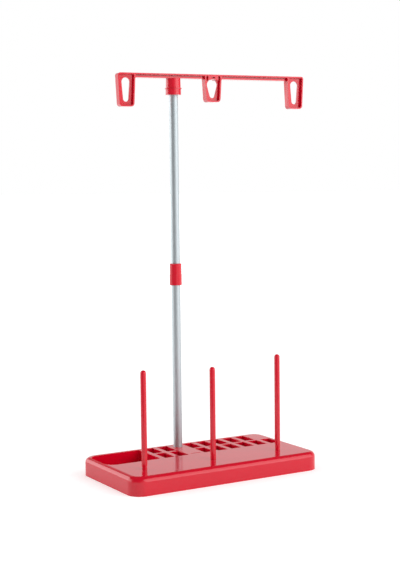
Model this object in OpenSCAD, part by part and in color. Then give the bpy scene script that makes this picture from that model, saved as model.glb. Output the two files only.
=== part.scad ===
// Free-standing thread rack. A moulded base with bobbin pockets and a notions well carries
// three spool pins and a two-piece mast. A guide arm with three thread eyes turns on a bush
// at the head of the mast.
// Millimetres, +Z up, +X to the right, -Y to the front. The origin lies in line with the mast
// and the middle pin, midway between the front and back of the base, on the surface that the
// rack stands on.

/* [Base] */
// Length of the base, left to right
base_w = 250; // [236:1:290]
// Depth of the base, front to back
base_d = 136.6; // [128:0.2:160]
// Height of the base
base_h = 21.4; // [19:0.2:28]
// Radius of the upright corners
corner_r = 16; // [10:0.5:20]
// Radius of the rounded top edge
edge_r = 6.4; // [4:0.2:7]
// Thickness of the side walls
wall = 2.4; // [1.6:0.2:3]
// Thickness of the deck
deck = 2.4; // [1.6:0.2:3]
// How far the middle of the base lies to the right of the mast and middle pin
base_x = 2.9; // [0:0.1:4]

/* [Pockets] */
// Width of one bobbin pocket
pocket_w = 12.8; // [11:0.2:14.4]
// Distance from one pocket to the next in a row
pocket_pitch = 19; // [18.6:0.1:21]
// Length of a front-row pocket
front_l = 24.4; // [20:0.2:26]
// Length of a back-row pocket
back_l = 26.5; // [22:0.5:28]
// Solid strip between the two rows
row_rib = 4.2; // [2:0.2:6]
// Land between the pockets and the back edge
back_land = 9.3; // [8:0.1:14]
// Least land between the last pocket and the right edge
right_land = 8; // [7:0.5:16]
// Depth of the pockets and of the well
pocket_depth = 17; // [10:0.5:17]
// Walls of the pocket cups below the deck
cup_wall = 1.8; // [1.2:0.1:2]
// Floors of the pocket cups
cup_floor = 2; // [1.2:0.1:2]
// Width of the solid pad that carries the mast
pad_w = 22.2; // [20:0.2:30]
// Pocket columns to the left of the pad
left_cols = 2; // [1:1:2]

/* [Notions well] */
// Land between the well and the left edge
well_land = 5; // [4:0.5:12]
// Radius of the well's two left corners
well_r = 13; // [8:0.5:16]
// Radius of the well's two right corners
well_small_r = 3; // [1:0.5:6]

/* [Spool pins] */
// Diameter of a pin
pin_d = 6.6; // [5:0.1:7]
// Length of a pin above its shoulder
pin_len = 108.4; // [90:0.1:120]
// Step in radius from a pin in to its tenon
pin_shoulder = 0.3; // [0.2:0.05:0.6]
// Distance from one pin to the next
pin_gap = 90.3; // [70:0.1:95]
// Land between the pins and the front edge
pin_land = 35.2; // [30:0.1:45]
// How far the left pin's shoulder stands above the deck
left_proud = 3.8; // [0:0.1:8]
// How far the right pin's shoulder stands above the deck
right_proud = 7.5; // [0:0.1:10]
// Floor of the pins' sockets, above the table
pin_floor_z = 1.8; // [1.2:0.1:3]
// Wall of the pin sockets
pin_boss_wall = 2.6; // [1.5:0.1:4]

/* [Mast] */
// Outer diameter of the two tubes
tube_d = 10.6; // [8:0.1:12]
// Wall of the tubes
tube_wall = 1; // [0.6:0.1:1.5]
// Length of each tube
tube_len = 229.3; // [150:0.1:300]
// Land between the mast's centre and the back edge
mast_land = 18.2; // [16:0.1:26]
// Floor of the mast socket, above the table
mast_floor_z = 2.4; // [1.6:0.1:4]
// Wall of the mast socket
mast_boss_wall = 2.7; // [1.5:0.1:3]
// Depth to which a tube plugs into the coupler
plug_depth = 12.2; // [8:0.1:20]
// Web between the coupler's two sockets
coupler_web = 1.6; // [1:0.1:3]
// Wall of the coupler's upper half
coupler_wall = 1.75; // [1.2:0.05:3]
// Step from the coupler's upper half out to its lower half
coupler_step = 0.3; // [0:0.05:1]

/* [Swivel head] */
// Height of the collar that grips the tube
collar_h = 7; // [5:0.1:12]
// Diameter of the collar
collar_d = 18.4; // [16:0.1:20]
// Diameter of the flange that carries the arm
flange_d = 20.2; // [20.1:0.1:26]
// Thickness of the flange
flange_t = 1.2; // [0.8:0.1:3]
// Depth to which the tube enters the bush
grip = 15.7; // [13:0.1:20]
// Wall of the spigot that the arm turns on
spigot_wall = 1.4; // [1:0.1:2]
// Cap over the end of the tube
cap_t = 1.8; // [1:0.1:3]

/* [Guide arm] */
// Turn of the arm about the mast, from the base's long axis
arm_turn = -9; // [-180:1:180]
// Front-to-back depth of the arm
arm_t = 11; // [8:0.5:14]
// Height of the bar
bar_h = 5.4; // [5:0.1:8]
// Thickness of the flanges along the bar
bar_flange = 1.8; // [1.2:0.1:2]
// Thickness of the web in the middle of the arm
web_t = 2.4; // [1.6:0.1:4]
// Distance from the mast to the middle eye
eye_offset = 49.6; // [30:0.1:60]
// Distance from one eye to the next
eye_gap = 109.6; // [90:0.1:130]
// Width of a guide at the bar
guide_top_w = 21.6; // [20:0.1:26]
// Width of a guide at its lower end
guide_low_w = 18.4; // [17:0.1:20]
// Drop of the two end guides below the bar
end_drop = 34.1; // [32:0.1:50]
// Drop of the middle guide below the bar
middle_drop = 27.4; // [26:0.1:40]
// Rim round each guide
rim_t = 1.6; // [1:0.1:2]
// Width of the end eyes at the top
end_eye_w = 10.2; // [8:0.1:12]
// Width of the end eyes at the bottom
end_eye_low_w = 7; // [5:0.1:8]
// Length of the end eyes
end_eye_l = 28.2; // [20:0.1:29]
// Width of the middle eye at the top
middle_eye_w = 13.4; // [9:0.1:14]
// Width of the middle eye at the bottom
middle_eye_low_w = 7; // [5:0.1:8]
// Length of the middle eye
middle_eye_l = 22.4; // [18:0.1:23]
// Wall of the barrel at its upper end
barrel_wall = 1.9; // [1.4:0.1:3]
// Roof of the barrel
barrel_roof = 1.7; // [1:0.1:3]
// Widening of the barrel's radius towards its mouth
barrel_flare = 0.25; // [0:0.05:0.6]

/* [Fits] */
// Radial clearance round a tenon or tube in its socket
socket_gap = 0.05; // [0.02:0.01:0.1]
// Clearance under the tenon of a pin that is pushed home
tenon_gap = 1.6; // [0.5:0.1:3]
// Radial clearance between the barrel and the spigot
swivel_gap = 0.05; // [0.02:0.01:0.1]
// Clearance between the barrel's mouth and the flange
thrust_gap = 0.1; // [0.05:0.05:0.3]
// Clearance between the spigot's cap and the barrel's roof
roof_gap = 0.3; // [0.2:0.1:1]

/* [Hidden] */
$fn = 64;

plastic = "#cc1730";
metal = "#b4bcc2";
// How far a cutting shape runs past the face that it opens
past = 1;

// Places on the base
deck_under = base_h - deck;
pocket_z = base_h - pocket_depth;
back_y = base_d / 2 - back_land;
front_y = back_y - back_l - row_rib - front_l;
rib_w = pocket_pitch - pocket_w;
first_right_x = pad_w / 2;
right_cols = floor((base_x + base_w / 2 - right_land - first_right_x + rib_w) / pocket_pitch);
first_left_x = rib_w - pad_w / 2 - left_cols * pocket_pitch;
well_x = base_x - base_w / 2 + well_land;
well_end_x = first_left_x - rib_w;

// Ribs and bosses under the deck
rib_t = 1.6;
boss_floor = 1.2;
mast_boss_floor = 1.6;
mast_web_t = 5;
web_z = 6;

// Witness marks that the moulding leaves
gate_w = 13;
gate_l = 1.6;
gate_depth = 0.5;
gate_land = 2.4;
dimple_d = 3.2;
dimple_depth = 0.35;
nub_d = 3.2;
nub_h = 0.5;

// Pins
pin_r = pin_d / 2;
pin_y = -base_d / 2 + pin_land;
dome_r = pin_r;
tenon_r = pin_r - pin_shoulder;
tenon_len = base_h - pin_floor_z - tenon_gap;
tenon_bevel = 0.6;
pin_socket_r = tenon_r + socket_gap;

// Mast
tube_r = tube_d / 2;
mast_y = base_d / 2 - mast_land;
socket_r = tube_r + socket_gap;
mast_boss_r = socket_r + mast_boss_wall;
coupler_h = 2 * plug_depth + coupler_web;
coupler_upper_r = socket_r + coupler_wall;
coupler_lower_r = coupler_upper_r + coupler_step;
coupler_z = mast_floor_z + tube_len - plug_depth;
upper_tube_z = coupler_z + plug_depth + coupler_web;
mast_top_z = upper_tube_z + tube_len;
rim_bevel = 0.5;

// Swivel head
bush_z = mast_top_z - grip;
bush_top = grip + cap_t;
flange_top = collar_h + flange_t;
spigot_r = socket_r + spigot_wall;
barrel_bore_r = spigot_r + swivel_gap;
barrel_top_r = barrel_bore_r + barrel_wall;
barrel_h = bush_top + roof_gap + barrel_roof - flange_top - thrust_gap;
arm_z = bush_z + flange_top + thrust_gap + barrel_h;

// Guide arm, in its own frame: x along the bar, z from the bar's underside
left_eye_x = eye_offset - eye_gap;
right_eye_x = eye_offset + eye_gap;
recess_depth = (arm_t - web_t) / 2;
flange_under = bar_h - bar_flange;
guide_top_r = 3;
guide_low_r = 4;
recess_r = 1.2;
corner_fillet = 1.5;
relief_foot = 3;
bridge_w = 13;
bridge_under = 1.2;
slot_w = 4.4;
slot_h = 1.4;
slot_z = 1.8;
slot_depth = 3;
// Largest turn from one point of an arc to the next
arc_step = 8;

// Points along an arc, walked anticlockwise from one angle to another
function arc(centre, r, from, to) =
    let (steps = ceil((to - from) / arc_step))
    [for (i = [0 : steps]) let (a = from + (to - from) * i / steps) centre + r * [cos(a), sin(a)]];

// Places and directions at a corner of an outline of corners [x, y, radius]
function point(c, i) = let (n = len(c), k = (i + n) % n) [c[k][0], c[k][1]];
function side(c, i) = let (v = point(c, i) - point(c, i - 1)) v / norm(v);
function heading(v) = atan2(v[1], v[0]);
function turn_at(c, i) = acos(side(c, i) * side(c, i + 1));
function arc_centre(c, i) =
    let (v = side(c, i + 1) - side(c, i))
    point(c, i) + c[i][2] / cos(turn_at(c, i) / 2) * v / norm(v);

// Convex outline through corners [x, y, radius], walked anticlockwise
module soft_outline(c) {
    polygon([for (i = [0 : len(c) - 1])
        let (from = heading(side(c, i)) - 90)
        each arc(arc_centre(c, i), c[i][2], from, from + turn_at(c, i))]);
}

// Cross-section of a bar, w wide and h high, with its two upper edges rounded
module rounded_section(w, h, edge) {
    translate([-w / 2, 0]) square([w, h - edge]);
    translate([edge - w / 2, 0]) square([w - 2 * edge, h]);
    for (x = [-1, 1])
        translate([x * (w / 2 - edge), h - edge]) circle(edge);
}

// Block with rounded upright corners and a rounded top edge
module soft_block(w, d, h, corner, edge) {
    for (x = [-1, 1], y = [-1, 1])
        translate([x * (w / 2 - corner), y * (d / 2 - corner), 0])
            rotate_extrude()
                intersection() {
                    square([corner, h]);
                    rounded_section(2 * corner, h, edge);
                }
    rotate([90, 0, 0])
        linear_extrude(height = d - 2 * corner, center = true) rounded_section(w, h, edge);
    rotate([90, 0, 90])
        linear_extrude(height = w - 2 * corner, center = true) rounded_section(d, h, edge);
}

// Box between two corners
module box(low, high) {
    translate(low) cube(high - low);
}

// Left edges of the pocket columns, and which of them have a back pocket
function column_xs() = concat(
    [for (i = [0 : left_cols - 1]) first_left_x + i * pocket_pitch],
    [for (i = [0 : right_cols - 1]) first_right_x + i * pocket_pitch]);
function back_column_xs() = let (xs = column_xs()) [for (i = [0 : len(xs) - 2]) xs[i]];

// The hollows that hold bobbins, from the deck down to the cup floors
module pocket_hollows() {
    for (x = column_xs())
        box([x, front_y, pocket_z], [x + pocket_w, front_y + front_l, base_h + past]);
    for (x = back_column_xs())
        box([x, back_y - back_l, pocket_z], [x + pocket_w, back_y, base_h + past]);
}

// Cups round the pockets: one long cup for each column, a short one for the last
module pocket_cups() {
    cup_z = pocket_z - cup_floor;
    for (x = column_xs())
        box([x - cup_wall, front_y - cup_wall, cup_z],
            [x + pocket_w + cup_wall, front_y + front_l + cup_wall, base_h]);
    for (x = back_column_xs())
        box([x - cup_wall, front_y, cup_z], [x + pocket_w + cup_wall, back_y + cup_wall, base_h]);
}

// Outline of the notions well, grown outwards by a wall
module well_outline(grow) {
    low = front_y - grow;
    high = back_y + grow;
    left = well_x - grow;
    right = well_end_x + grow;
    r = well_r + grow;
    small = well_small_r + grow;
    for (y = [low + r, high - r])
        translate([left + r, y]) circle(r);
    for (y = [low + small, high - small])
        translate([right - small, y]) circle(small);
    translate([left, low + r]) square([right - left - small, high - low - 2 * r]);
    translate([left + r, low]) square([right - small - left - r, high - low]);
    translate([right - small, low + small]) square([small, high - low - 2 * small]);
}

module well_hollow() {
    translate([0, 0, pocket_z]) linear_extrude(height = pocket_depth + past) well_outline(0);
}

// Cup round the well, joined to the left wall of the base
module well_cup() {
    cup_z = pocket_z - cup_floor;
    translate([0, 0, cup_z])
        linear_extrude(height = base_h - cup_z) well_outline(cup_wall);
    box([base_x - base_w / 2, front_y + well_r, cup_z], [well_x, back_y - well_r, base_h]);
}

function pin_x(i) = i * pin_gap;

// Sockets for the pins and the mast, standing down from the deck
module bosses() {
    for (i = [-1 : 1])
        translate([pin_x(i), pin_y, pin_floor_z - boss_floor])
            cylinder(r = pin_socket_r + pin_boss_wall, h = base_h - pin_floor_z);
    translate([0, mast_y, mast_floor_z - mast_boss_floor])
        cylinder(r = mast_boss_r, h = base_h - mast_floor_z);
    box([-pad_w / 2, mast_y - mast_web_t / 2, web_z], [pad_w / 2, mast_y + mast_web_t / 2, base_h]);
}

// Stiffening ribs: one along the row of pins, three across the front and three behind the pockets
module ribs() {
    box([-base_w, pin_y - rib_t / 2, 0], [base_w, pin_y + rib_t / 2, base_h]);
    for (i = [-1 : 1]) {
        box([pin_x(i) - rib_t / 2, -base_d / 2, 0], [pin_x(i) + rib_t / 2, front_y, base_h]);
        box([pin_x(i) - rib_t / 2, i == 0 ? mast_y : back_y, 0],
            [pin_x(i) + rib_t / 2, base_d / 2, base_h]);
    }
}

// Space under the deck, open at the bottom, less the cups, bosses and ribs
module underside() {
    difference() {
        translate([base_x, 0, -past])
            soft_block(base_w - 2 * wall, base_d - 2 * wall, deck_under + past,
                       corner_r - wall, edge_r - wall);
        pocket_cups();
        well_cup();
        bosses();
        ribs();
    }
}

module base() {
    color(plastic)
        difference() {
            translate([base_x, 0, 0]) soft_block(base_w, base_d, base_h, corner_r, edge_r);
            underside();
            pocket_hollows();
            well_hollow();
            for (i = [-1 : 1])
                translate([pin_x(i), pin_y, pin_floor_z])
                    cylinder(r = pin_socket_r, h = base_h);
            translate([0, mast_y, mast_floor_z]) cylinder(r = socket_r, h = base_h);
            box([-gate_w / 2, front_y + gate_land, base_h - gate_depth],
                [gate_w / 2, front_y + gate_land + gate_l, base_h + past]);
        }
}

// A spool pin with a domed top and a tenon, its shoulder proud of the deck
module spool_pin(i, proud) {
    color(plastic)
        translate([pin_x(i), pin_y, base_h + proud])
            rotate_extrude() {
                polygon([[0, -tenon_len], [tenon_r - tenon_bevel, -tenon_len],
                         [tenon_r, tenon_bevel - tenon_len], [tenon_r, 0], [0, 0]]);
                square([pin_r, pin_len - dome_r]);
                intersection() {
                    translate([0, pin_len - dome_r]) circle(dome_r);
                    square([dome_r, pin_len]);
                }
            }
}

module pin_left() {
    spool_pin(-1, left_proud);
}

module pin_middle() {
    spool_pin(0, 0);
}

module pin_right() {
    spool_pin(1, right_proud);
}

// One length of the mast, standing on z
module mast_tube(z) {
    color(metal)
        translate([0, mast_y, z])
            difference() {
                cylinder(r = tube_r, h = tube_len);
                translate([0, 0, -past]) cylinder(r = tube_r - tube_wall, h = tube_len + 2 * past);
            }
}

module lower_tube() {
    mast_tube(mast_floor_z);
}

module upper_tube() {
    mast_tube(upper_tube_z);
}

// Small round witness mark in a round wall, seen from the front
module dimple(radius, z, turn) {
    translate([0, 0, z])
        rotate([90, 0, turn])
            translate([0, 0, radius - dimple_depth]) cylinder(d = dimple_d, h = past);
}

// Sleeve with a socket at each end and a web between them
module coupler() {
    mid = coupler_h / 2;
    web_low = mid - coupler_web / 2;
    web_high = mid + coupler_web / 2;
    color(plastic)
        translate([0, mast_y, coupler_z])
            difference() {
                rotate_extrude()
                    polygon([[0, web_low], [socket_r, web_low], [socket_r, 0],
                             [coupler_lower_r - rim_bevel, 0], [coupler_lower_r, rim_bevel],
                             [coupler_lower_r, mid], [coupler_upper_r, mid],
                             [coupler_upper_r, coupler_h - rim_bevel],
                             [coupler_upper_r - rim_bevel, coupler_h], [socket_r, coupler_h],
                             [socket_r, web_high], [0, web_high]]);
                dimple(coupler_lower_r, mid / 2, -10);
            }
}

// Bush on the head of the mast: collar, flange and the spigot that the arm turns on
module swivel_bush() {
    collar_r = collar_d / 2;
    flange_r = flange_d / 2;
    color(plastic)
        translate([0, mast_y, bush_z])
            difference() {
                rotate_extrude()
                    polygon([[socket_r, 0], [collar_r - rim_bevel, 0], [collar_r, rim_bevel],
                             [collar_r, collar_h], [flange_r, collar_h], [flange_r, flange_top],
                             [spigot_r, flange_top], [spigot_r, bush_top - rim_bevel],
                             [spigot_r - rim_bevel, bush_top], [0, bush_top], [0, grip],
                             [socket_r, grip]]);
                dimple(collar_r, collar_h / 2, 7);
            }
}

// Outline of one guide, centred on its eye, drawn in from its true edge by a margin
module guide_outline(drop, margin, top, top_r, low_r) {
    top_x = guide_top_w / 2 - margin;
    low_x = guide_low_w / 2 - margin;
    low = margin - drop;
    soft_outline([[-top_x, top, top_r], [-low_x, low, low_r],
                  [low_x, low, low_r], [top_x, top, top_r]]);
}

// Inside corner between the bar and a guide, on its left (-1) or right (1) side
module inside_corner(way) {
    edge = guide_top_w / 2 - corner_fillet / 4;
    difference() {
        translate([way > 0 ? edge : -edge - corner_fillet, -corner_fillet])
            square([corner_fillet, corner_fillet + bar_flange]);
        translate([way * (edge + corner_fillet), -corner_fillet]) circle(corner_fillet);
    }
}

// Front view of the whole arm
module arm_outline() {
    translate([left_eye_x, 0]) square([2 * eye_gap, bar_h]);
    for (x = [left_eye_x, right_eye_x])
        translate([x, 0]) guide_outline(end_drop, 0, bar_h, guide_top_r, guide_low_r);
    translate([eye_offset, 0]) guide_outline(middle_drop, 0, bar_h, guide_top_r, guide_low_r);
    for (x = [left_eye_x, eye_offset])
        translate([x, 0]) inside_corner(1);
    for (x = [eye_offset, right_eye_x])
        translate([x, 0]) inside_corner(-1);
}

// Recess inside the rim of one guide
module guide_recess(drop) {
    guide_outline(drop, rim_t, flange_under, recess_r, guide_low_r - rim_t);
}

// Groove along the bar between two guides, cut away at 45 degrees before the right-hand one
module bar_recess(from_x, to_x) {
    left = from_x + guide_top_w / 2 + rim_t / 2;
    right = to_x - guide_top_w / 2;
    polygon([[left, bar_flange], [right - relief_foot - bar_flange, bar_flange],
             [right - relief_foot, 0], [right - relief_foot, -corner_fillet],
             [right, -corner_fillet], [right, flange_under], [left, flange_under]]);
}

// Everything that is cut into one face of the arm down to its web
module face_recess() {
    for (x = [left_eye_x, right_eye_x])
        translate([x, 0]) guide_recess(end_drop);
    translate([eye_offset, 0])
        difference() {
            guide_recess(middle_drop);
            translate([-bridge_w / 2, -bridge_under])
                square([bridge_w, bridge_under + bar_h]);
        }
    bar_recess(left_eye_x, eye_offset);
    bar_recess(eye_offset, right_eye_x);
}

// Tapered eye that hangs down from the bar's underside, round at both ends
module eye_outline(top_w, low_w, length) {
    top_r = top_w / 2;
    low_r = low_w / 2;
    lean = asin((top_r - low_r) / (length - top_r - low_r));
    polygon(concat(arc([0, -top_r], top_r, -lean, 180 + lean),
                   arc([0, low_r - length], low_r, 180 + lean, 360 - lean)));
}

module eyes() {
    for (x = [left_eye_x, right_eye_x])
        translate([x, 0]) eye_outline(end_eye_w, end_eye_low_w, end_eye_l);
    translate([eye_offset, 0]) eye_outline(middle_eye_w, middle_eye_low_w, middle_eye_l);
}

// Stands a front view upright and gives it a depth from one y to another
module upright(from_y, to_y) {
    translate([0, to_y, 0]) rotate([90, 0, 0]) linear_extrude(height = to_y - from_y) children();
}

// Socket under the bar that turns on the spigot
module barrel() {
    translate([0, 0, -barrel_h])
        difference() {
            cylinder(r1 = barrel_top_r + barrel_flare, r2 = barrel_top_r, h = barrel_h);
            translate([0, 0, -past])
                cylinder(r = barrel_bore_r, h = barrel_h - barrel_roof + past);
        }
}

module guide_arm() {
    half = arm_t / 2;
    color(plastic)
        translate([0, mast_y, arm_z])
            rotate([0, 0, arm_turn]) {
                difference() {
                    upright(-half, half) arm_outline();
                    upright(-half - past, recess_depth - half) face_recess();
                    upright(half - recess_depth, half + past) face_recess();
                    upright(-half - past, half + past) eyes();
                    for (y = [-half, half])
                        box([eye_offset - slot_w / 2, y - slot_depth, slot_z - slot_h / 2],
                            [eye_offset + slot_w / 2, y + slot_depth, slot_z + slot_h / 2]);
                }
                barrel();
                translate([eye_offset, 0, bar_h]) cylinder(d = nub_d, h = nub_h);
            }
}

base();
pin_left();
pin_middle();
pin_right();
lower_tube();
coupler();
upper_tube();
swivel_bush();
guide_arm();
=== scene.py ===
"""Looks of a free-standing thread rack, built round its packed construction model.

Every piece is modelled in metres in the frame of the construction model: +Z up, +X to the right
along the row of pins, -Y to the front, with the origin on the table in line with the mast and
the middle pin. Each modelled piece stands for one node of that model and moves with that
node's body.
"""

import logging
import math
from contextlib import contextmanager
from dataclasses import dataclass, field
from enum import Enum
from typing import Callable, Iterator, Sequence

import bmesh
import bpy
from mathutils import Matrix, Vector


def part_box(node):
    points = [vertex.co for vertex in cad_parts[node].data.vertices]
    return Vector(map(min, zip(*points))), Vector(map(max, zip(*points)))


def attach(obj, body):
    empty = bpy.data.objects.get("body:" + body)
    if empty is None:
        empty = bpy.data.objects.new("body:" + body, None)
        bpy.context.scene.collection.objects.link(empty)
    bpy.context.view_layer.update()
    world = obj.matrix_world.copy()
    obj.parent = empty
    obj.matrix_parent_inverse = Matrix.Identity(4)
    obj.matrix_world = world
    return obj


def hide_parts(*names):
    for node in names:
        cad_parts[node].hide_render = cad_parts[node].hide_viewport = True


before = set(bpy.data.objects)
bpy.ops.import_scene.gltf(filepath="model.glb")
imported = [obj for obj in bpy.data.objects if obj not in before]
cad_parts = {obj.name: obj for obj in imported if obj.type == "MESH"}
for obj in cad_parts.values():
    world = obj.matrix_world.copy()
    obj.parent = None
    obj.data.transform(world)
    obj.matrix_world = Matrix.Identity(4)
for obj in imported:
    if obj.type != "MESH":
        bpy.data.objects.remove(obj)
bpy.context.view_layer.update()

MM = 0.001
# Slack for telling whether two heights or places are the same
NEAR = MM / 10
# Points closer than this are one point
WELD = 1e-6
# How far a cutter reaches past the surface that it cuts
PAST = MM
# An edge whose direction has this much of Z in it stands upright
UPRIGHT = 0.9
# Sides of a small round cutter or stud
SMALL_SIDES = 32
log = logging.getLogger("thread_rack")


class Element(Enum):
    """What is picked in edit mode."""

    VERTEX = "VERT"
    EDGE = "EDGE"
    FACE = "FACE"


class PinPlace(Enum):
    """The three places in the row of spool pins."""

    LEFT = "left"
    MIDDLE = "middle"
    RIGHT = "right"


# Modelling helpers


def deselect() -> None:
    """Leave every object unselected."""
    bpy.ops.object.select_all(action="DESELECT")


def activate(piece: bpy.types.Object) -> None:
    """Select one object alone and make it the active one.

    Args:
        piece: The object.
    """
    deselect()
    piece.select_set(True)
    bpy.context.view_layer.objects.active = piece


def settle(piece: bpy.types.Object) -> bpy.types.Object:
    """Put an object's place, turn and scale into its mesh.

    Args:
        piece: The object to settle.

    Returns:
        The same object, now at the origin, unturned and unscaled.
    """
    activate(piece)
    bpy.ops.object.transform_apply(location=True, rotation=True, scale=True)
    return piece


@contextmanager
def editing(piece: bpy.types.Object, element: Element = Element.FACE) -> Iterator[None]:
    """Hold one object in edit mode with nothing selected in it.

    Args:
        piece: The object to edit.
        element: What the select mode picks.
    """
    activate(piece)
    bpy.ops.object.mode_set(mode="EDIT")
    bpy.ops.mesh.select_mode(type=element.value)
    bpy.ops.mesh.select_all(action="DESELECT")
    yield
    bpy.ops.object.mode_set(mode="OBJECT")


def pick(element: Element, test: Callable[[Vector, Vector], bool]) -> int:
    """Select edges or faces of the object in edit mode by their place.

    Args:
        element: Whether edges or faces are picked.
        test: Called with a centre, and with an edge's direction or a face's normal.

    Returns:
        How many were selected.
    """
    data = bpy.context.edit_object.data
    mesh = bmesh.from_edit_mesh(data)
    count = 0
    if element is Element.EDGE:
        for edge in mesh.edges:
            start, end = (v.co for v in edge.verts)
            if test((start + end) / 2, (end - start).normalized()):
                edge.select_set(True)
                count += 1
    else:
        for face in mesh.faces:
            if test(face.calc_center_median(), face.normal):
                face.select_set(True)
                count += 1
    bmesh.update_edit_mesh(data)
    return count


def block(name: str, low: Sequence[float], high: Sequence[float]) -> bpy.types.Object:
    """Add a block between two corners.

    Args:
        name: The object's name.
        low: Lowest corner, in metres.
        high: Highest corner, in metres.

    Returns:
        The block, settled.
    """
    low, high = Vector(low), Vector(high)
    deselect()
    bpy.ops.mesh.primitive_cube_add(size=1, location=(low + high) / 2)
    piece = bpy.context.active_object
    piece.name = name
    piece.scale = high - low
    return settle(piece)


def rod(
    name: str, foot: Sequence[float], radius: float, length: float, sides: int = 64,
    turn: Sequence[float] = (0.0, 0.0, 0.0),
) -> bpy.types.Object:
    """Add a round rod that stands on its foot, before it is turned about that foot.

    Args:
        name: The object's name.
        foot: Centre of the lower end, in metres.
        radius: Radius in metres.
        length: Length in metres.
        sides: Number of sides.
        turn: Euler angles about the foot, in radians.

    Returns:
        The rod, settled.
    """
    deselect()
    bpy.ops.mesh.primitive_cylinder_add(
        vertices=sides, radius=radius, depth=length, location=(0, 0, length / 2)
    )
    piece = settle(bpy.context.active_object)
    piece.name = name
    piece.rotation_euler = turn
    piece.location = foot
    return settle(piece)


def foot_and_height(node: str) -> tuple[Vector, float]:
    """Find where a node of the construction model stands, and how tall it is.

    Args:
        node: The node's name.

    Returns:
        The middle of the underside of its box, and the height of that box, in metres.
    """
    low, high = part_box(node)
    return Vector(((low.x + high.x) / 2, (low.y + high.y) / 2, low.z)), high.z - low.z


def round_edges(
    piece: bpy.types.Object, radius: float, segments: int,
    test: Callable[[Vector, Vector], bool],
) -> None:
    """Round the edges that pass a test.

    Args:
        piece: The object to edit.
        radius: Radius of the rounding, in metres.
        segments: Flats across each rounding.
        test: As in pick.
    """
    with editing(piece, Element.EDGE):
        pick(Element.EDGE, test)
        bpy.ops.mesh.bevel(offset=radius, segments=segments, profile=0.5, affect="EDGES")


def joined(pieces: Sequence[bpy.types.Object]) -> bpy.types.Object:
    """Join objects into the first of them.

    Args:
        pieces: The objects to join.

    Returns:
        The first object, holding all the meshes.
    """
    activate(pieces[0])
    for piece in pieces[1:]:
        piece.select_set(True)
    if len(pieces) > 1:
        bpy.ops.object.join()
    return pieces[0]


def copied(piece: bpy.types.Object, name: str, move: Vector) -> bpy.types.Object:
    """Copy a piece, with a mesh of its own, and move the copy.

    Args:
        piece: The piece to copy.
        name: The copy's name.
        move: How far the copy is moved, in metres.

    Returns:
        The copy, settled.
    """
    activate(piece)
    bpy.ops.object.duplicate(linked=False)
    twin = bpy.context.active_object
    twin.name = name
    twin.location = move
    return settle(twin)


def combine(
    piece: bpy.types.Object, tools: Sequence[bpy.types.Object], operation: str = "DIFFERENCE"
) -> bpy.types.Object:
    """Cut tools out of a piece, or fuse them to it, and delete them.

    Args:
        piece: The object that is kept.
        tools: Objects that shape it, one after another.
        operation: The Boolean modifier's operation.

    Returns:
        The piece.
    """
    for tool in tools:
        activate(piece)
        modifier = piece.modifiers.new("combine", "BOOLEAN")
        modifier.operation = operation
        modifier.object = tool
        modifier.solver = "EXACT"
        bpy.ops.object.modifier_apply(modifier=modifier.name)
        bpy.data.objects.remove(tool)
    return piece


def soften(piece: bpy.types.Object, radius: float, segments: int = 2, angle: float = 40.0) -> None:
    """Round every sharp edge a little and shade the flats flat, as a moulding's edges catch light.

    Args:
        piece: The object to finish.
        radius: Radius of the rounding, in metres.
        segments: Flats across each rounding.
        angle: Least angle of an edge that is rounded, in degrees.
    """
    activate(piece)
    bevel = piece.modifiers.new("bevel", "BEVEL")
    bevel.width = radius
    bevel.segments = segments
    bevel.limit_method = "ANGLE"
    bevel.angle_limit = math.radians(angle)
    bevel.use_clamp_overlap = True
    bevel.miter_outer = "MITER_ARC"
    bpy.ops.object.modifier_apply(modifier=bevel.name)
    bpy.ops.object.shade_smooth_by_angle(angle=math.radians(angle))
    weighted = piece.modifiers.new("weighted", "WEIGHTED_NORMAL")
    weighted.keep_sharp = True
    weighted.weight = 100
    bpy.ops.object.modifier_apply(modifier=weighted.name)


def turned(
    name: str, outline: Sequence[tuple[float, float]], axis: Vector, steps: int = 96,
    closed: bool = True,
) -> bpy.types.Object:
    """Spin an outline about a vertical axis.

    Args:
        name: The object's name.
        outline: Corners as (radius, height), in metres.
        axis: A point on the axis; its height is added to the heights.
        steps: Steps in a full turn.
        closed: Whether the last corner joins the first.

    Returns:
        The turned object, with its faces outwards.
    """
    corners = [axis + Vector((radius, 0, height)) for radius, height in outline]
    if closed:
        corners.append(corners[0])
    deselect()
    bpy.ops.mesh.primitive_plane_add(size=MM, location=corners[0])
    piece = settle(bpy.context.active_object)
    piece.name = name
    with editing(piece, Element.VERTEX):
        bpy.ops.mesh.select_all(action="SELECT")
        bpy.ops.mesh.merge(type="CENTER")
        for start, end in zip(corners, corners[1:]):
            bpy.ops.mesh.extrude_region_move(TRANSFORM_OT_translate={"value": end - start})
        bpy.ops.mesh.select_all(action="SELECT")
        bpy.ops.mesh.spin(steps=steps, angle=2 * math.pi, center=axis, axis=(0, 0, 1))
        bpy.ops.mesh.select_all(action="SELECT")
        bpy.ops.mesh.remove_doubles(threshold=WELD)
        bpy.ops.mesh.normals_make_consistent(inside=False)
    return piece


def arc(
    centre: tuple[float, float], radius: float, start: float, end: float, steps: int
) -> list[tuple[float, float]]:
    """Points along an arc.

    Args:
        centre: The arc's centre.
        radius: The arc's radius.
        start: First angle, in degrees.
        end: Last angle, in degrees.
        steps: Number of steps.

    Returns:
        The points, both ends included.
    """
    points = []
    for i in range(steps + 1):
        angle = math.radians(start + (end - start) * i / steps)
        points.append(
            (centre[0] + radius * math.cos(angle), centre[1] + radius * math.sin(angle))
        )
    return points


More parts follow.
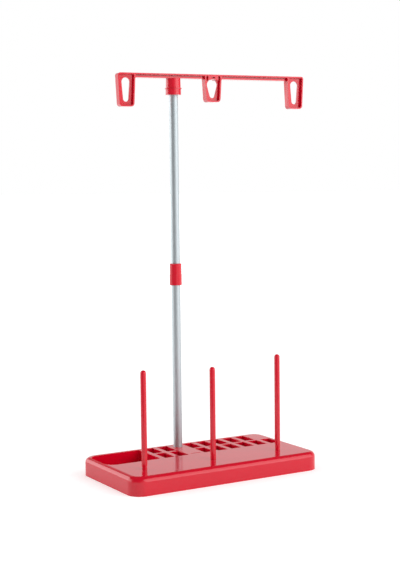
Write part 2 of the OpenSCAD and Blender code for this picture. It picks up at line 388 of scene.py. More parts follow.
def stretched_rods(
    name: str, rods: Sequence[tuple[float, float, float]], from_y: float, to_y: float
) -> bpy.types.Object:
    """Wrap a skin round rods that lie along Y, as a belt goes round pulleys.

    Args:
        name: The object's name.
        rods: Each rod as (x, z, radius), in metres.
        from_y: Front end of the rods.
        to_y: Back end of the rods.

    Returns:
        One convex object.
    """
    quarter = math.radians(-90)
    parts = [
        rod(name, (x, from_y, z), radius, to_y - from_y, turn=(quarter, 0, 0))
        for x, z, radius in rods
    ]
    piece = joined(parts)
    with editing(piece):
        bpy.ops.mesh.select_all(action="SELECT")
        bpy.ops.mesh.convex_hull()
        bpy.ops.mesh.select_all(action="SELECT")
        bpy.ops.mesh.dissolve_limited(angle_limit=math.radians(0.5))
    return piece


def hand_over(piece: bpy.types.Object, node: str, body: str) -> None:
    """Let a piece stand for its node of the construction model.

    Args:
        piece: The finished piece.
        node: The node that it replaces.
        body: The body that it rides on.
    """
    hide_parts(node)
    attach(piece, body)
    log.info("%s stands for %s and rides on %s", piece.name, node, body)


# Finishes


def srgb(code: str) -> tuple[float, float, float, float]:
    """Turn an sRGB hex code to a linear colour.

    Args:
        code: Six hex digits after a hash.

    Returns:
        Red, green, blue and alpha.
    """
    levels = [int(code[i : i + 2], 16) / 255 for i in (1, 3, 5)]
    linear = [c / 12.92 if c <= 0.04045 else ((c + 0.055) / 1.055) ** 2.4 for c in levels]
    return (*linear, 1.0)


def add_node(
    tree: bpy.types.NodeTree, kind: str, settings: dict | None = None, links: dict | None = None
) -> bpy.types.Node:
    """Add a node with its settings and links.

    Args:
        tree: The node tree.
        kind: The node's type name.
        settings: Properties by name, or default values by input name.
        links: Output sockets by input name.

    Returns:
        The new node.
    """
    node = tree.nodes.new(kind)
    for name, value in (settings or {}).items():
        if isinstance(name, int) or name in node.inputs:
            node.inputs[name].default_value = value
        else:
            setattr(node, name, value)
    for name, output in (links or {}).items():
        tree.links.new(output, node.inputs[name])
    return node


def empty_material(name: str) -> bpy.types.Material:
    """Make a material with no nodes in it.

    Args:
        name: The material's name.

    Returns:
        The material.
    """
    material = bpy.data.materials.new(name)
    material.use_nodes = True
    material.node_tree.nodes.clear()
    return material


@dataclass(frozen=True)
class MouldedPolystyrene:
    """Glossy injection-moulded polystyrene, coloured right through.

    The polished mould gives a mirror gloss over a strong, even colour. The skin is not dead
    flat: it keeps a faint ripple from shrinking, and fine rubbing marks dull it in places.
    """

    name: str = "glossy_moulded_polystyrene"
    colour: str = "#da0629"
    deep_colour: str = "#d20525"
    ior: float = 1.52
    roughness: float = 0.07
    worn_roughness: float = 0.13
    ripple_mm: float = 14.0
    ripple_height_mm: float = 0.012
    cloud_mm: float = 45.0
    # Real rubbing marks are under 0.1 mm wide; they are drawn wider so that they show
    rub_mm: float = 0.9

    def make(self) -> bpy.types.Material:
        """Build the material.

        Returns:
            The material.
        """
        material = empty_material(self.name)
        tree = material.node_tree
        place = add_node(tree, "ShaderNodeTexCoord").outputs["Object"]
        cloud = add_node(
            tree, "ShaderNodeTexNoise",
            {"Scale": 1 / (self.cloud_mm * MM), "Detail": 2.0}, {"Vector": place},
        )
        colour = add_node(
            tree, "ShaderNodeMix",
            {"data_type": "RGBA", 6: srgb(self.deep_colour), 7: srgb(self.colour)},
            {0: cloud.outputs["Fac"]},
        )
        rub = add_node(
            tree, "ShaderNodeTexNoise",
            {"Scale": 1 / (self.rub_mm * MM), "Detail": 4.0, "Roughness": 0.6},
            {"Vector": place},
        )
        gloss = add_node(
            tree, "ShaderNodeMapRange",
            {"To Min": self.roughness, "To Max": self.worn_roughness},
            {"Value": rub.outputs["Fac"]},
        )
        ripple = add_node(
            tree, "ShaderNodeTexNoise",
            {"Scale": 1 / (self.ripple_mm * MM), "Detail": 1.0}, {"Vector": place},
        )
        bump = add_node(
            tree, "ShaderNodeBump",
            {"Strength": 1.0, "Distance": self.ripple_height_mm * MM},
            {"Height": ripple.outputs["Fac"]},
        )
        shader = add_node(
            tree, "ShaderNodeBsdfPrincipled", {"IOR": self.ior},
            {"Base Color": colour.outputs[2], "Roughness": gloss.outputs["Result"],
             "Normal": bump.outputs["Normal"]},
        )
        add_node(tree, "ShaderNodeOutputMaterial", links={"Surface": shader.outputs["BSDF"]})
        return material


@dataclass(frozen=True)
class DrawnAluminium:
    """Aluminium tube, drawn to size and clear anodised to a satin grey.

    Drawing leaves faint streaks along the tube, so a highlight is a soft upright band.
    """

    name: str = "satin_anodised_aluminium_tube"
    colour: str = "#c5cdd0"
    dull_colour: str = "#b7bfc3"
    roughness: float = 0.52
    streak_roughness: float = 0.60
    # The real streaks are about 0.1 mm apart; they are drawn wider so that they show
    streak_mm: float = 0.8
    streak_length_mm: float = 90.0

    def make(self) -> bpy.types.Material:
        """Build the material.

        Returns:
            The material.
        """
        material = empty_material(self.name)
        tree = material.node_tree
        place = add_node(tree, "ShaderNodeTexCoord").outputs["Object"]
        across, along = 1 / (self.streak_mm * MM), 1 / (self.streak_length_mm * MM)
        stretched = add_node(
            tree, "ShaderNodeMapping", {"Scale": (across, across, along)}, {"Vector": place}
        )
        streaks = add_node(
            tree, "ShaderNodeTexNoise", {"Scale": 1.0, "Detail": 2.0},
            {"Vector": stretched.outputs["Vector"]},
        )
        colour = add_node(
            tree, "ShaderNodeMix",
            {"data_type": "RGBA", 6: srgb(self.dull_colour), 7: srgb(self.colour)},
            {0: streaks.outputs["Fac"]},
        )
        gloss = add_node(
            tree, "ShaderNodeMapRange",
            {"To Min": self.roughness, "To Max": self.streak_roughness},
            {"Value": streaks.outputs["Fac"]},
        )
        shader = add_node(
            tree, "ShaderNodeBsdfPrincipled", {"Metallic": 1.0},
            {"Base Color": colour.outputs[2], "Roughness": gloss.outputs["Result"]},
        )
        add_node(tree, "ShaderNodeOutputMaterial", links={"Surface": shader.outputs["BSDF"]})
        return material


# The object


@dataclass
class SubAssembly:
    """A sub-assembly of the rack and the plastic that its mouldings are made of."""

    plastic: bpy.types.Material

    def dress(self, piece: bpy.types.Object, finish: bpy.types.Material) -> bpy.types.Object:
        """Give a piece its finish all over.

        Args:
            piece: The modelled piece.
            finish: The material.

        Returns:
            The piece.
        """
        piece.data.materials.clear()
        piece.data.materials.append(finish)
        return piece


@dataclass
class BaseMoulding(SubAssembly):
    """The open-bottomed base with its deck, bobbin pockets, notions well and sockets."""

    mast_axis: Vector
    corner_r: float = 16 * MM
    edge_r: float = 6.4 * MM
    wall: float = 2.4 * MM
    rim_r: float = 0.5 * MM
    soft_r: float = 0.35 * MM
    pocket_w: float = 12.8 * MM
    pitch: float = 19 * MM
    front_y: tuple[float, float] = (3.9 * MM, 28.3 * MM)
    back_y: tuple[float, float] = (32.5 * MM, 59 * MM)
    pocket_z: float = 4.4 * MM
    cup_wall: float = 1.8 * MM
    cup_floor: float = 2 * MM
    pad_half: float = 11.1 * MM
    left_columns: int = 2
    right_columns: int = 6
    well_left: float = 5 * MM
    well_r: float = 13 * MM
    well_small_r: float = 3 * MM
    rib_t: float = 1.6 * MM
    pin_gap: float = 90.3 * MM
    pin_y: float = -33.1 * MM
    pin_socket_r: float = 3.05 * MM
    pin_socket_z: float = 1.8 * MM
    mast_socket_r: float = 5.35 * MM
    mast_socket_z: float = 2.4 * MM
    boss_wall: float = 2.6 * MM
    boss_floor: float = 1.2 * MM
    web_t: float = 5 * MM
    web_z: float = 6 * MM
    gate: tuple[float, float, float] = (13 * MM, 1.6 * MM, 0.5 * MM)
    gate_y: float = 6.3 * MM
    corner_steps: int = 16
    edge_steps: int = 10
    well_steps: int = 14
    well_small_steps: int = 8
    rim_steps: int = 4
    rim_angle: float = 60.0
    low: Vector = field(init=False)
    high: Vector = field(init=False)

    def __post_init__(self) -> None:
        """Take the outside size from the construction model."""
        self.low, self.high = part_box("base")

    @property
    def columns(self) -> list[float]:
        """Left edges of the pocket columns.

        Returns:
            The edges from left to right, in metres.
        """
        gap = self.pitch - self.pocket_w
        left = [gap - self.pad_half - (i + 1) * self.pitch for i in range(self.left_columns)]
        right = [self.pad_half + i * self.pitch for i in range(self.right_columns)]
        return sorted(left) + right

    @property
    def well_x(self) -> tuple[float, float]:
        """Left and right ends of the notions well."""
        gap = self.pitch - self.pocket_w
        return self.low.x + self.well_left, self.columns[0] - gap

    def shell(self, name: str, inset: float, low_z: float, high_z: float) -> bpy.types.Object:
        """Model a block with rounded corners and a rounded top edge.

        Args:
            name: The object's name.
            inset: How far its sides lie inside the base's sides.
            low_z: Height of its underside.
            high_z: Height of its top.

        Returns:
            The block.
        """
        piece = block(
            name,
            (self.low.x + inset, self.low.y + inset, low_z),
            (self.high.x - inset, self.high.y - inset, high_z),
        )
        round_edges(
            piece, self.corner_r - inset, self.corner_steps,
            lambda at, way: abs(way.z) > UPRIGHT,
        )
        round_edges(
            piece, self.edge_r - inset, self.edge_steps, lambda at, way: at.z > high_z - NEAR
        )
        return piece

    def pocket(self, column: float, row: tuple[float, float], grow: float, floor: float,
               top: float) -> bpy.types.Object:
        """Model the block that fills one pocket, or one cup round it.

        Args:
            column: Left edge of the pocket.
            row: Front and back of the pocket.
            grow: How far the block reaches past the pocket's sides.
            floor: Height of the block's underside.
            top: Height of the block's top.

        Returns:
            The block.
        """
        return block(
            "pocket",
            (column - grow, row[0] - grow, floor),
            (column + self.pocket_w + grow, row[1] + grow, top),
        )

    def well(self, grow: float, floor: float, top: float) -> bpy.types.Object:
        """Model the block that fills the notions well, or the cup round it.

        Args:
            grow: How far the block reaches past the well's sides.
            floor: Height of the block's underside.
            top: Height of the block's top.

        Returns:
            The block.
        """
        left, right = self.well_x
        middle = (left + right) / 2
        piece = block(
            "well",
            (left - grow, self.front_y[0] - grow, floor),
            (right + grow, self.back_y[1] + grow, top),
        )
        round_edges(
            piece, self.well_r + grow, self.well_steps,
            lambda at, way: abs(way.z) > UPRIGHT and at.x < middle,
        )
        round_edges(
            piece, self.well_small_r + grow, self.well_small_steps,
            lambda at, way: abs(way.z) > UPRIGHT and at.x > right + grow - NEAR,
        )
        return piece

    def underside(self) -> bpy.types.Object:
        """Model the space under the deck, less the cups, bosses and ribs in it.

        Returns:
            The cutter.
        """
        top = self.high.z
        space = self.shell("underside", self.wall, -PAST, top - self.wall)
        cup_z = self.pocket_z - self.cup_floor
        cups = [
            self.pocket(x, (self.front_y[0], self.back_y[1]), self.cup_wall, cup_z, top)
            for x in self.columns[:-1]
        ]
        cups.append(self.pocket(self.columns[-1], self.front_y, self.cup_wall, cup_z, top))
        for cup in cups:
            combine(space, [cup])
        combine(space, [self.well(self.cup_wall, cup_z, top)])
        left = self.well_x[0]
        link = block(
            "link",
            (self.low.x, self.front_y[0] + self.well_r, cup_z),
            (left, self.back_y[1] - self.well_r, top),
        )
        combine(space, [link])
        for i in (-1, 0, 1):
            boss = rod(
                "boss",
                (i * self.pin_gap, self.pin_y, self.pin_socket_z - self.boss_floor),
                self.pin_socket_r + self.boss_wall,
                top,
            )
            combine(space, [boss])
        mast = rod(
            "boss",
            (self.mast_axis.x, self.mast_axis.y, self.mast_socket_z - self.boss_floor),
            self.mast_socket_r + self.boss_wall,
            top,
        )
        web = block(
            "web",
            (-self.pad_half, self.mast_axis.y - self.web_t / 2, self.web_z),
            (self.pad_half, self.mast_axis.y + self.web_t / 2, top),
        )
        combine(space, [mast, web])
        half = self.rib_t / 2
        ribs = [block("rib", (self.low.x, self.pin_y - half, -2 * PAST),
                      (self.high.x, self.pin_y + half, top))]
        for i in (-1, 0, 1):
            x = i * self.pin_gap
            ribs.append(block("rib", (x - half, self.low.y, -2 * PAST),
                              (x + half, self.front_y[0], top)))
            start = self.mast_axis.y if i == 0 else self.back_y[1]
            ribs.append(block("rib", (x - half, start, -2 * PAST),
                              (x + half, self.high.y, top)))
        return combine(space, ribs)

    def build(self) -> bpy.types.Object:
        """Model the base.

        Returns:
            The finished mesh.
        """
        top = self.high.z
        over = top + PAST
        piece = self.shell("base_moulding", 0.0, 0.0, top)
        hollows = [
            self.pocket(x, self.front_y, 0.0, self.pocket_z, over) for x in self.columns
        ]
        hollows += [
            self.pocket(x, self.back_y, 0.0, self.pocket_z, over) for x in self.columns[:-1]
        ]
        hollows.append(self.well(0.0, self.pocket_z, over))
        combine(piece, [joined(hollows)])
        self.round_rims(piece)
        width, length, depth = self.gate
        combine(piece, [block("gate", (-width / 2, self.gate_y, top - depth),
                              (width / 2, self.gate_y + length, over))])
        combine(piece, [self.underside()])
        for i in (-1, 0, 1):
            foot = (i * self.pin_gap, self.pin_y, self.pin_socket_z)
            combine(piece, [rod("socket", foot, self.pin_socket_r, top)])
        foot = (self.mast_axis.x, self.mast_axis.y, self.mast_socket_z)
        combine(piece, [rod("socket", foot, self.mast_socket_r, top)])
        soften(piece, self.soft_r)
        return self.dress(piece, self.plastic)

    def round_rims(self, piece: bpy.types.Object) -> None:
        """Round the rims of the pockets and the well.

        Args:
            piece: The base, with its hollows cut.
        """
        level = self.high.z
        edge = self.edge_r
        low, high = self.low, self.high

        def on_rim(at: Vector, way: Vector) -> bool:
            """Whether an edge lies on the deck, away from the outer rounding."""
            inside = low.x + edge < at.x < high.x - edge and low.y + edge < at.y < high.y - edge
            return inside and abs(at.z - level) < NEAR and abs(way.z) < 1 - UPRIGHT

        with editing(piece, Element.EDGE):
            mesh = bmesh.from_edit_mesh(piece.data)
            for e in mesh.edges:
                start, end = (v.co for v in e.verts)
                if on_rim((start + end) / 2, (end - start).normalized()) and e.is_manifold:
                    if e.calc_face_angle(0) > math.radians(self.rim_angle):
                        e.select_set(True)
            bmesh.update_edit_mesh(piece.data)
            bpy.ops.mesh.bevel(
                offset=self.rim_r, segments=self.rim_steps, profile=0.5, affect="EDGES"
            )


@dataclass
class SpoolPins(SubAssembly):
    """Three equal round pins, each with a domed top, a shoulder and a tenon in the base."""

    radius: float = 3.3 * MM
    shoulder: float = 0.3 * MM
    tenon_len: float = 18 * MM
    tenon_bevel: float = 0.6 * MM
    soft_r: float = 0.12 * MM
    dome_steps: int = 12

    def pin(self, place: PinPlace) -> bpy.types.Object:
        """Model one pin.

        Args:
            place: Which pin.

        Returns:
            The finished mesh.
        """
        foot, length = foot_and_height(f"pin_{place.value}")
        tenon_r = self.radius - self.shoulder
        dome = arc((0, length - self.radius), self.radius, 0, 90, self.dome_steps)
        outline = [
            (0, 0),
            (tenon_r - self.tenon_bevel, 0),
            (tenon_r, self.tenon_bevel),
            (tenon_r, self.tenon_len),
            (self.radius, self.tenon_len),
            *dome[:-1],
            (0, length),
        ]
        piece = turned(f"spool_pin_{place.value}", outline, foot, closed=False)
        soften(piece, self.soft_r)
        return self.dress(piece, self.plastic)

    def build(self) -> dict[PinPlace, bpy.types.Object]:
        """Model the first pin and copy it for the others, each at its own height.

        Returns:
            The pins by their places.
        """
        first = PinPlace.LEFT
        start, _ = foot_and_height(f"pin_{first.value}")
        pins = {first: self.pin(first)}
        for place in (PinPlace.MIDDLE, PinPlace.RIGHT):
            foot, _ = foot_and_height(f"pin_{place.value}")
            pins[place] = copied(pins[first], f"spool_pin_{place.value}", foot - start)
        return pins


@dataclass(frozen=True)
class GateMark:
    """The small round mark that moulding leaves in the front of a round wall.

    Its turn about the wall's axis is in degrees, from straight ahead.
    """

    turn: float
    radius: float = 1.6 * MM
    depth: float = 0.35 * MM

    def cutter(self, foot: Vector, wall_r: float, height: float) -> bpy.types.Object:
        """Model what is cut out of the wall.

        Args:
            foot: Foot of the wall's axis.
            wall_r: Radius of the wall.
            height: Height of the mark above the foot.

        Returns:
            The cutter.
        """
        angle = math.radians(self.turn)
        reach = wall_r - self.depth
        start = foot + Vector((math.sin(angle) * reach, -math.cos(angle) * reach, height))
        return rod("mark", start, self.radius, 5 * self.depth, sides=SMALL_SIDES,
                   turn=(math.radians(90), 0, angle))


@dataclass
class Mast(SubAssembly):
    """Two lengths of tube and the coupler between them."""

    metal: bpy.types.Material
    tube_r: float = 5.3 * MM
    tube_wall: float = 1 * MM
    tube_soft_r: float = 0.2 * MM
    tube_steps: int = 128
    socket_r: float = 5.35 * MM
    upper_r: float = 7.1 * MM
    lower_r: float = 7.4 * MM
    web: float = 1.6 * MM
    soft_r: float = 0.25 * MM
    mark: GateMark = GateMark(-10.0)

    def tubes(self) -> tuple[bpy.types.Object, bpy.types.Object]:
        """Model the lower length of tube and copy it for the upper one.

        Returns:
            The lower and the upper tube.
        """
        foot, length = foot_and_height("lower_tube")
        inner = self.tube_r - self.tube_wall
        outline = [(inner, 0), (self.tube_r, 0), (self.tube_r, length), (inner, length)]
        lower = turned("mast_tube_lower", outline, foot, steps=self.tube_steps)
        soften(lower, self.tube_soft_r)
        self.dress(lower, self.metal)
        upper_foot, _ = foot_and_height("upper_tube")
        return lower, copied(lower, "mast_tube_upper", upper_foot - foot)

    def coupler(self) -> bpy.types.Object:
        """Model the coupler.

        Returns:
            The finished mesh.
        """
        foot, length = foot_and_height("coupler")
        middle = length / 2
        outline = [
            (0, middle - self.web / 2),
            (self.socket_r, middle - self.web / 2),
            (self.socket_r, 0),
            (self.lower_r, 0),
            (self.lower_r, middle),
            (self.upper_r, middle),
            (self.upper_r, length),
            (self.socket_r, length),
            (self.socket_r, middle + self.web / 2),
            (0, middle + self.web / 2),
        ]
        piece = turned("mast_coupler", outline, foot, closed=False)
        combine(piece, [self.mark.cutter(foot, self.lower_r, middle / 2)])
        soften(piece, self.soft_r)
        return self.dress(piece, self.plastic)


@dataclass
class SwivelHead(SubAssembly):
    """The bush on the head of the mast, with its collar, flange and spigot."""

    collar_r: float = 9.2 * MM
    collar_h: float = 7 * MM
    flange_r: float = 10.1 * MM
    flange_t: float = 1.2 * MM
    socket_r: float = 5.35 * MM
    spigot_r: float = 6.75 * MM
    grip: float = 15.7 * MM
    soft_r: float = 0.25 * MM
    mark: GateMark = GateMark(7.0)

    def build(self) -> bpy.types.Object:
        """Model the bush.

        Returns:
            The finished mesh.
        """
        foot, length = foot_and_height("swivel_bush")
        seat = self.collar_h + self.flange_t
        outline = [
            (self.socket_r, 0),
            (self.collar_r, 0),
            (self.collar_r, self.collar_h),
            (self.flange_r, self.collar_h),
            (self.flange_r, seat),
            (self.spigot_r, seat),
            (self.spigot_r, length),
            (0, length),
            (0, self.grip),
            (self.socket_r, self.grip),
        ]
        piece = turned("swivel_bush_head", outline, foot)
        combine(piece, [self.mark.cutter(foot, self.collar_r, self.collar_h / 2)])
        soften(piece, self.soft_r)
        return self.dress(piece, self.plastic)


@dataclass
class GuideArm(SubAssembly):
    """The ribbed arm with its three thread eyes and the barrel that turns on the bush.

    The arm is modelled along X with the mast at the origin and the bar's underside at zero,
    and is then turned and lifted to its place.
    """

    mast_axis: Vector
    underside_z: float = 466.4 * MM
    turn: float = -9.0
    depth: float = 11 * MM
    bar_h: float = 5.4 * MM
    flange: float = 1.8 * MM
    web_t: float = 2.4 * MM
    rim: float = 1.6 * MM
    eyes_x: tuple[float, float, float] = (-60 * MM, 49.6 * MM, 159.2 * MM)
    drops: tuple[float, float, float] = (34.1 * MM, 27.4 * MM, 34.1 * MM)
    eye_top_w: tuple[float, float, float] = (10.2 * MM, 13.4 * MM, 10.2 * MM)
    eye_low_w: float = 7 * MM
    eye_len: tuple[float, float, float] = (28.2 * MM, 22.4 * MM, 28.2 * MM)
    guide_top_w: float = 21.6 * MM
    guide_low_w: float = 18.4 * MM
    top_r: float = 3 * MM
    low_r: float = 4 * MM
    recess_r: float = 1.2 * MM
    fillet: float = 1.5 * MM
    relief: float = 3 * MM
    bridge_w: float = 13 * MM
    bridge_under: float = 1.2 * MM
    slot: tuple[float, float, float] = (4.4 * MM, 3 * MM, 1.4 * MM)
    slot_z: float = 1.8 * MM
    barrel_bore_r: float = 6.8 * MM
    barrel_top_r: float = 8.7 * MM
    barrel_mouth_r: float = 8.95 * MM
    barrel_h: float = 11.2 * MM
    barrel_roof: float = 1.7 * MM
    nub_r: float = 1.6 * MM
    nub_h: float = 0.5 * MM
    soft_r: float = 0.3 * MM

    def plate(
        self, name: str, i: int, margin: float, top: float, top_r: float, low_r: float,
        from_y: float, to_y: float,
    ) -> bpy.types.Object:
        """Model the tapered plate of one guide, or the recess in it.

        Args:
            name: The object's name.
            i: Which guide, from the left.
            margin: How far its sides lie inside the guide's sides.
            top: Height of its top.
            top_r: Radius of its upper corners.
            low_r: Radius of its lower corners.
            from_y: Front of the plate.
            to_y: Back of the plate.

        Returns:
            The plate.
        """
        eye_x = self.eyes_x[i]
        low = margin - self.drops[i]
        top_half = self.guide_top_w / 2 - margin
        low_half = self.guide_low_w / 2 - margin
        rods = []
        for way in (-1, 1):
            rods.append((eye_x + way * (top_half - top_r), top - top_r, top_r))
            rods.append((eye_x + way * (low_half - low_r), low + low_r, low_r))
        return stretched_rods(name, rods, from_y, to_y)

    def eye(self, i: int) -> bpy.types.Object:
        """Model the tapered slot of one eye.

        Args:
            i: Which guide, from the left.

        Returns:
            The cutter.
        """
        top_r, low_r = self.eye_top_w[i] / 2, self.eye_low_w / 2
        rods = [
            (self.eyes_x[i], -top_r, top_r),
            (self.eyes_x[i], low_r - self.eye_len[i], low_r),
        ]
        return stretched_rods("eye", rods, -self.depth, self.depth)

    def prism(
        self, corners: Sequence[tuple[float, float]], from_y: float, to_y: float
    ) -> bpy.types.Object:
        """Extrude an outline in X and Z along Y.

        Args:
            corners: The outline's corners.
            from_y: Front of the prism.
            to_y: Back of the prism.

        Returns:
            The prism.
        """
        deselect()
        x, z = corners[0]
        bpy.ops.mesh.primitive_plane_add(size=MM, location=(x, from_y, z))
        piece = settle(bpy.context.active_object)
        piece.name = "prism"
        with editing(piece, Element.VERTEX):
            bpy.ops.mesh.select_all(action="SELECT")
            bpy.ops.mesh.merge(type="CENTER")
            for (x0, z0), (x1, z1) in zip(corners, [*corners[1:], corners[0]]):
                step = (x1 - x0, 0, z1 - z0)
                bpy.ops.mesh.extrude_region_move(TRANSFORM_OT_translate={"value": step})
            bpy.ops.mesh.select_all(action="SELECT")
            bpy.ops.mesh.remove_doubles(threshold=WELD)
            bpy.ops.mesh.edge_face_add()
            bpy.ops.mesh.extrude_region_move(
                TRANSFORM_OT_translate={"value": (0, to_y - from_y, 0)}
            )
            bpy.ops.mesh.select_all(action="SELECT")
            bpy.ops.mesh.normals_make_consistent(inside=False)
        return piece

    def groove(self, left: int, right: int, from_y: float, to_y: float) -> bpy.types.Object:
        """Model the groove along the bar between two guides, relieved at 45 degrees on the right.

        Args:
            left: The guide on the left.
            right: The guide on the right.
            from_y: Front of the groove.
            to_y: Back of the groove.

        Returns:
            The cutter.
        """
        start = self.eyes_x[left] + self.guide_top_w / 2 + self.rim / 2
        end = self.eyes_x[right] - self.guide_top_w / 2
        foot = end - self.relief
        top = self.bar_h - self.flange
        corners = [
            (start, self.flange),
            (foot - self.flange, self.flange),
            (foot, 0),
            (foot, -self.fillet),
            (end, -self.fillet),
            (end, top),
            (start, top),
        ]
        return self.prism(corners, from_y, to_y)

    def corner_fillet(self, i: int, way: int) -> bpy.types.Object:
        """Model the filled inside corner between the bar and one side of a guide.

        Args:
            i: Which guide, from the left.
            way: -1 for its left side, 1 for its right side.

        Returns:
            The fillet.
        """
        half = self.depth / 2
        overlap = self.fillet / 4
        edge = self.eyes_x[i] + way * (self.guide_top_w / 2 - overlap)
        far = edge + way * self.fillet
        piece = block(
            "fillet",
            (min(edge, far), -half, -self.fillet),
            (max(edge, far), half, self.flange),
        )
        quarter = math.radians(-90)
        cutter = rod("round", (far, -self.depth, -self.fillet), self.fillet, 2 * self.depth,
                     turn=(quarter, 0, 0))
        return combine(piece, [cutter])

    def body(self) -> bpy.types.Object:
        """Model the bar with its three guides, before anything is cut into it.

        Returns:
            The solid arm.
        """
        half = self.depth / 2
        arm = block("guide_arm_moulding", (self.eyes_x[0], -half, 0),
                    (self.eyes_x[2], half, self.bar_h))
        plates = [
            self.plate("guide", i, 0.0, self.bar_h, self.top_r, self.low_r, -half, half)
            for i in range(3)
        ]
        combine(arm, plates, "UNION")
        fillets = [
            self.corner_fillet(i, way) for i, way in ((0, 1), (1, -1), (1, 1), (2, -1))
        ]
        return combine(arm, fillets, "UNION")

    def face_cutters(self, from_y: float, to_y: float) -> list[bpy.types.Object]:
        """Model what is cut into one face of the arm, down to its web.

        Args:
            from_y: Front of the cutters.
            to_y: Back of the cutters.

        Returns:
            The cutters.
        """
        top = self.bar_h - self.flange
        low_r = self.low_r - self.rim
        recesses = [
            self.plate("recess", i, self.rim, top, self.recess_r, low_r, from_y, to_y)
            for i in range(3)
        ]
        bridge = block(
            "bridge",
            (self.eyes_x[1] - self.bridge_w / 2, from_y - PAST, -self.bridge_under),
            (self.eyes_x[1] + self.bridge_w / 2, to_y + PAST, 2 * self.bar_h),
        )
        combine(recesses[1], [bridge])
        return [*recesses, self.groove(0, 1, from_y, to_y), self.groove(1, 2, from_y, to_y)]

    def barrel(self) -> bpy.types.Object:
        """Model the barrel, open at its lower end.

        Returns:
            The barrel, under the bar.
        """
        outline = [
            (0, 0),
            (0, -self.barrel_roof),
            (self.barrel_bore_r, -self.barrel_roof),
            (self.barrel_bore_r, -self.barrel_h),
            (self.barrel_mouth_r, -self.barrel_h),
            (self.barrel_top_r, 0),
        ]
        return turned("barrel", outline, Vector((0, 0, 0)))

    def build(self) -> bpy.types.Object:
        """Model the arm and set it in its place.

        Returns:
            The finished mesh.
        """
        half = self.depth / 2
        skin = (self.depth - self.web_t) / 2
        arm = self.body()
        combine(arm, self.face_cutters(-half - PAST, skin - half))
        combine(arm, self.face_cutters(half - skin, half + PAST))
        combine(arm, [self.eye(i) for i in range(3)])
        slot_w, slot_depth, slot_h = self.slot
        for y in (-half, half):
            low = (self.eyes_x[1] - slot_w / 2, y - slot_depth, self.slot_z - slot_h / 2)
            high = (self.eyes_x[1] + slot_w / 2, y + slot_depth, self.slot_z + slot_h / 2)
            combine(arm, [block("slot", low, high)])
        combine(arm, [self.barrel()], "UNION")
        nub = rod("nub", (self.eyes_x[1], 0, self.bar_h - PAST), self.nub_r,
                  self.nub_h + PAST, sides=SMALL_SIDES)
        combine(arm, [nub], "UNION")
        soften(arm, self.soft_r)
        arm.rotation_euler = (0, 0, math.radians(self.turn))
        arm.location = (self.mast_axis.x, self.mast_axis.y, self.underside_z)
        settle(arm)
        return self.dress(arm, self.plastic)


# The studio


@dataclass(frozen=True)
class SoftBox:
    """A soft box that faces the rack.

    It hangs at a distance in metres along its way, a direction seen from the base. Its level is
    how bright it looks, where 1 is white.
    """

    name: str
    way: tuple[float, float, float]
    distance: float
    width: float
    height: float
    level: float

    def hang(self) -> None:
        """Add the lamp to the scene."""
        data = bpy.data.lights.new(self.name, "AREA")
        data.shape = "RECTANGLE"
        data.size, data.size_y = self.width, self.height
        data.energy = self.level * math.pi * self.width * self.height
        lamp = bpy.data.objects.new(self.name, data)
        bpy.context.scene.collection.objects.link(lamp)
        way = Vector(self.way).normalized()
        lamp.location = way * self.distance
        lamp.rotation_euler = (-way).to_track_quat("-Z", "Y").to_euler()


